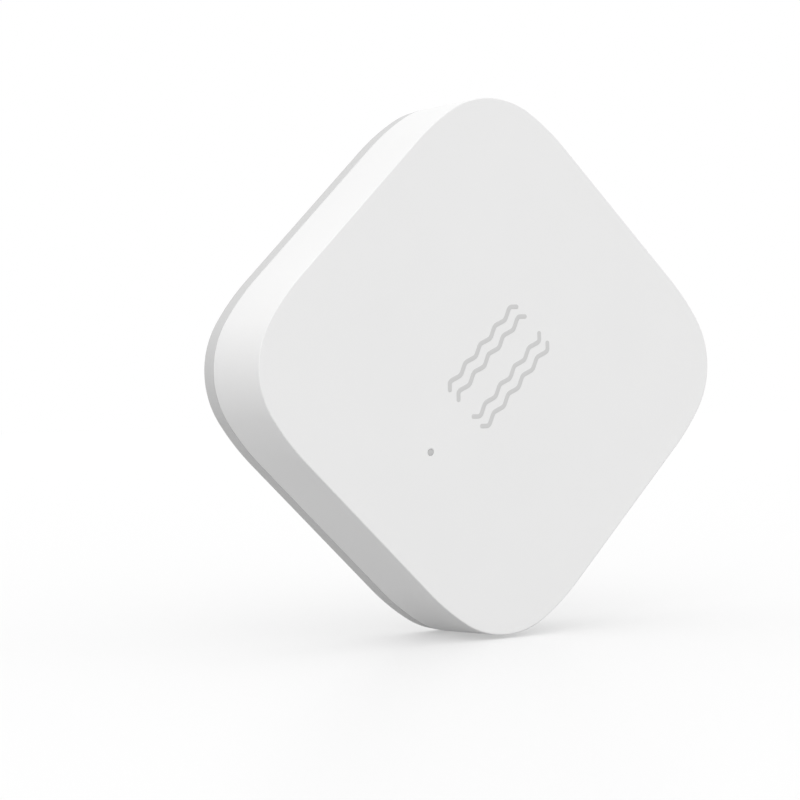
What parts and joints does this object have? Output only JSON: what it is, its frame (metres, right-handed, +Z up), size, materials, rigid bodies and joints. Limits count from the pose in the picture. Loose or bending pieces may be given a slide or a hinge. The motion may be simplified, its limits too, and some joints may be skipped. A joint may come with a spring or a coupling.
{
  "type": "vibration sensor tag",
  "caption": "Stick-on vibration sensor tag: a thin rounded-square shell that unclips from its base, with a reset button and a coin cell.",
  "frame": {"origin": "centre of the adhesive pad's outer face, where the tag meets a door, window or wall", "axes": "+Z up with the tag on one corner as pictured, +Y into the wall behind it, the front looks along -Y; the tag's own top side faces +X+Z"},
  "size_m": [0.061, 0.0138, 0.061],
  "materials": {
    "shell_plastic": "fine matt moulded white",
    "base_plastic": "fine matt moulded pale grey",
    "button_plastic": "fine matt moulded white",
    "mark_grey": "matt light grey ink",
    "pipe_clear": "milky translucent plastic",
    "foam_tape": "closed-cell white foam tape",
    "grey_foam": "soft dark foam",
    "board_green": "green solder resist",
    "radio_board_blue": "blue solder resist",
    "gold_plate": "gold-plated copper",
    "tin_plate": "tinned sheet steel",
    "spring_steel": "nickel-plated spring strip",
    "screw_steel": "zinc-plated screws",
    "cell_steel": "nickel-plated deep-drawn steel",
    "chip_black": "black moulding compound",
    "lamp_white": "pale lamp resin",
    "capacitor_tan": "tan ceramic",
    "resistor_black": "black film on ceramic",
    "switch_plastic": "black nylon",
    "plunger_plastic": "ivory nylon",
    "holder_plastic": "black glass-filled nylon",
    "seal_plastic": "grey polypropylene",
    "cathode_black": "pressed black powder",
    "separator_white": "thin white felt",
    "anode_grey": "soft grey metal"
  },
  "bodies": {
    "back_plate": {"rear_cover": "base_plastic", "adhesive_pad": "foam_tape", "battery_pad": "grey_foam"},
    "sensor_body": {"front_cover": "shell_plastic", "vibration_mark": "mark_grey", "light_pipe": "pipe_clear", "status_lamp": "lamp_white", "circuit_board": "board_green", "board_screws": "screw_steel", "test_pads": "gold_plate", "radio_board": "radio_board_blue", "radio_shield": "tin_plate", "radio_chip": "chip_black", "radio_crystal": "tin_plate", "radio_aerial": "gold_plate", "accelerometer": "chip_black", "clock_crystal": "tin_plate", "memory_chip": "chip_black", "voltage_regulator": "chip_black", "reservoir_capacitor": "capacitor_tan", "capacitors": "capacitor_tan", "resistors": "resistor_black", "switch_body": "switch_plastic", "switch_cover": "tin_plate", "switch_dome": "spring_steel", "battery_holder": "holder_plastic", "positive_contact": "spring_steel", "negative_contact": "spring_steel", "battery_can": "cell_steel", "battery_seal": "seal_plastic", "battery_cap": "cell_steel", "battery_cathode": "cathode_black", "battery_separator": "separator_white", "battery_anode": "anode_grey"},
    "button": {"reset_button": "button_plastic"},
    "plunger": {"switch_plunger": "plunger_plastic"}
  },
  "joints": [
    {"name": "body_pull", "type": "slide", "parent": "back_plate", "child": "sensor_body", "axis": [0, -1, 0], "range_m": [0, 0.02]},
    {"name": "reset_press", "type": "slide", "parent": "sensor_body", "child": "button", "axis": [-0.7071, 0, -0.7071], "range_m": [0, 0.0003], "stiffness_N_per_m": 300, "springref_m": -0.0005},
    {"name": "plunger_travel", "type": "slide", "parent": "sensor_body", "child": "plunger", "axis": [-0.7071, 0, -0.7071], "range_m": [0, 0.0003]}
  ],
  "couplings": [
    {"joint": "plunger_travel", "follows": "reset_press", "ratio": 1}
  ]
}
